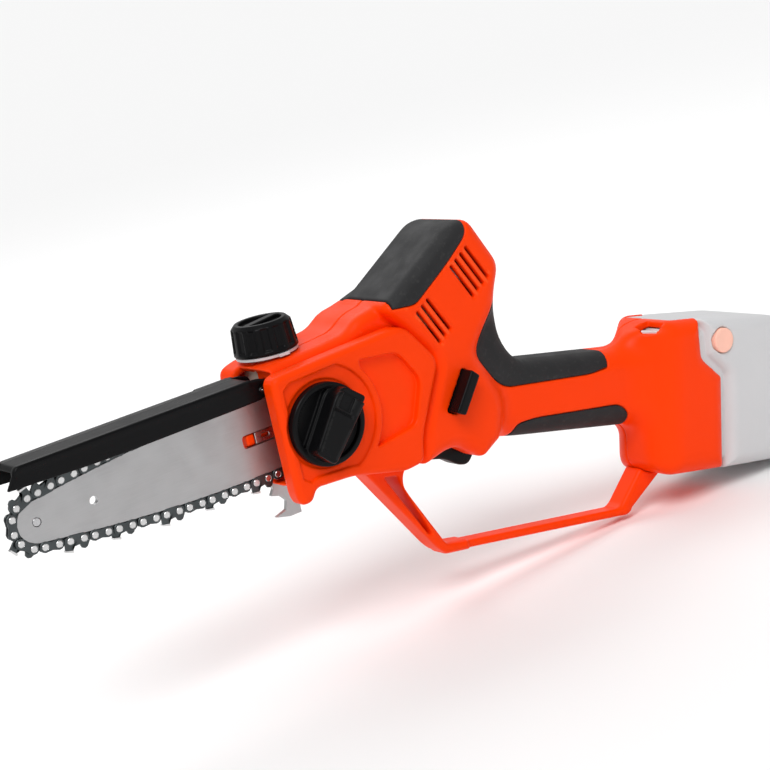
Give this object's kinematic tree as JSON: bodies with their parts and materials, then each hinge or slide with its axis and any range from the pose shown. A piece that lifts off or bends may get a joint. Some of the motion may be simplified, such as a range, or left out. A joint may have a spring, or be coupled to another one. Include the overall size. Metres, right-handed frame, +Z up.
{
  "type": "cordless pruning chainsaw",
  "caption": "One-handed battery pruning chainsaw: nose-sprocket bar and chain, side cover with clamping knob, raised motor housing, pistol handle with hand guard and rear battery pack.",
  "frame": {"origin": "centre of the whole saw's box; the drive sprocket's centre is at (-42.1, -2.1, 23.3) mm, and the bar's mid-plane holds it", "axes": "-X forward along the guide bar, -Y towards the sprocket cover, +Z up"},
  "size_m": [0.4956, 0.0742, 0.1956],
  "materials": {
    "orange_housing": "satin moulded",
    "black_rubber": "fine grained over-moulding",
    "black_plastic": "satin moulded",
    "pale_plastic": "satin moulded",
    "pink_button": "satin moulded",
    "bar_steel": "ground satin",
    "steel": "turned",
    "chain_steel": "blued",
    "brass": "machined",
    "copper_stack": "lamination stack and windings",
    "circuit_board": "solder mask",
    "tank_plastic": "blow moulded",
    "red_wire": "wire sleeve",
    "black_wire": "wire sleeve"
  },
  "bodies": {
    "frame": {"housing_left": "orange_housing", "housing_right": "orange_housing", "hand_guard": "orange_housing", "motor_cap": "black_rubber", "grip_top": "black_rubber", "grip_bottom": "black_rubber", "oil_hose": "black_plastic", "trigger_switch": "black_plastic", "terminal_block": "black_plastic", "oil_cap_gasket": "pale_plastic", "oil_pump": "pale_plastic", "bumper_spike": "bar_steel", "bar_stud": "steel", "guard_pin": "steel", "shaft_bearing_front": "steel", "shaft_bearing_rear": "steel", "motor_mount_plate": "steel", "motor_bearing_front": "steel", "motor_end_cap": "steel", "motor_bearing_rear": "steel", "trigger_pin": "steel", "trigger_spring": "steel", "spike_screw_1": "steel", "spike_screw_2": "steel", "housing_screw_1": "steel", "housing_screw_2": "steel", "housing_screw_3": "steel", "housing_screw_4": "steel", "motor_stator": "copper_stack", "controller_board": "circuit_board", "oil_tank": "tank_plastic", "battery_lead_positive": "red_wire", "battery_lead_negative": "black_wire"},
    "drive": {"drive_sprocket": "steel", "sprocket_shaft": "steel", "sprocket_circlip": "steel", "sprocket_washer": "steel", "ring_gear": "steel", "pump_worm": "brass"},
    "rotor": {"motor_pinion": "brass", "motor_shaft": "steel", "motor_rotor": "chain_steel", "motor_fan": "black_plastic"},
    "bar_set": {"guide_bar": "bar_steel", "saw_chain": "chain_steel", "nose_rivet": "steel", "tension_slider": "steel"},
    "nose": {"nose_sprocket": "chain_steel"},
    "adjuster": {"tension_screw": "steel"},
    "guard": {"chain_guard": "black_plastic"},
    "filler_cap": {"oil_cap": "black_plastic"},
    "cover": {"sprocket_cover": "orange_housing"},
    "knob": {"cover_knob": "black_plastic", "knob_nut": "steel"},
    "trigger_lever": {"trigger": "black_plastic"},
    "lock_off": {"lock_off_button": "black_plastic"},
    "battery": {"battery_pack": "pale_plastic"},
    "release_left": {"battery_button_left": "pink_button"},
    "release_right": {"battery_button_right": "pink_button"}
  },
  "joints": [
    {"name": "chain_drive_spin", "type": "hinge", "parent": "frame", "child": "drive", "pos_m": [-0.0421, -0.0021, 0.0233], "axis": [0, 1, 0], "continuous": true},
    {"name": "rotor_spin", "type": "hinge", "parent": "frame", "child": "rotor", "pos_m": [-0.0421, 0.0049, 0.0233], "axis": [0.809, 0, 0.5878], "continuous": true},
    {"name": "bar_slide", "type": "slide", "parent": "frame", "child": "bar_set", "axis": [1, 0, 0], "range_m": [0, 0.002]},
    {"name": "nose_spin", "type": "hinge", "parent": "bar_set", "child": "nose", "pos_m": [-0.2326, -0.0021, 0.0233], "axis": [0, 1, 0], "continuous": true},
    {"name": "tension_screw_turn", "type": "hinge", "parent": "frame", "child": "adjuster", "pos_m": [-0.1021, 0.0039, 0.0343], "axis": [1, 0, 0], "range_deg": [0, 720]},
    {"name": "guard_lift", "type": "hinge", "parent": "frame", "child": "guard", "pos_m": [-0.1051, 0.0049, 0.0478], "axis": [0, 1, 0], "range_deg": [0, 30]},
    {"name": "oil_cap_turn", "type": "hinge", "parent": "frame", "child": "filler_cap", "pos_m": [-0.0871, 0.0099, 0.0683], "axis": [0, 0, 1], "continuous": true},
    {"name": "cover_lift", "type": "slide", "parent": "frame", "child": "cover", "axis": [0, -1, 0], "range_m": [0, 0.06]},
    {"name": "knob_turn", "type": "hinge", "parent": "cover", "child": "knob", "pos_m": [-0.0826, -0.0221, 0.0233], "axis": [0, 1, 0], "continuous": true},
    {"name": "trigger_pull", "type": "hinge", "parent": "frame", "child": "trigger_lever", "pos_m": [-0.0151, 0.0049, -0.0122], "axis": [0, -1, 0], "range_deg": [0, 9], "deforming": ["trigger_spring"]},
    {"name": "lock_off_push", "type": "slide", "parent": "frame", "child": "lock_off", "axis": [0, 1, 0], "range_m": [0, 0.004]},
    {"name": "battery_slide", "type": "slide", "parent": "frame", "child": "battery", "axis": [0.9767, 0, -0.2147], "range_m": [0, 0.06]},
    {"name": "release_left_press", "type": "slide", "parent": "battery", "child": "release_left", "axis": [0, 1, 0], "range_m": [0, 0.0025]},
    {"name": "release_right_press", "type": "slide", "parent": "battery", "child": "release_right", "axis": [0, -1, 0], "range_m": [0, 0.0025]}
  ],
  "couplings": [
    {"joint": "rotor_spin", "follows": "chain_drive_spin", "ratio": -3.2222},
    {"joint": "nose_spin", "follows": "chain_drive_spin", "ratio": 1.3333},
    {"joint": "tension_screw_turn", "follows": "bar_slide", "rad_per_m": 6283.2}
  ]
}
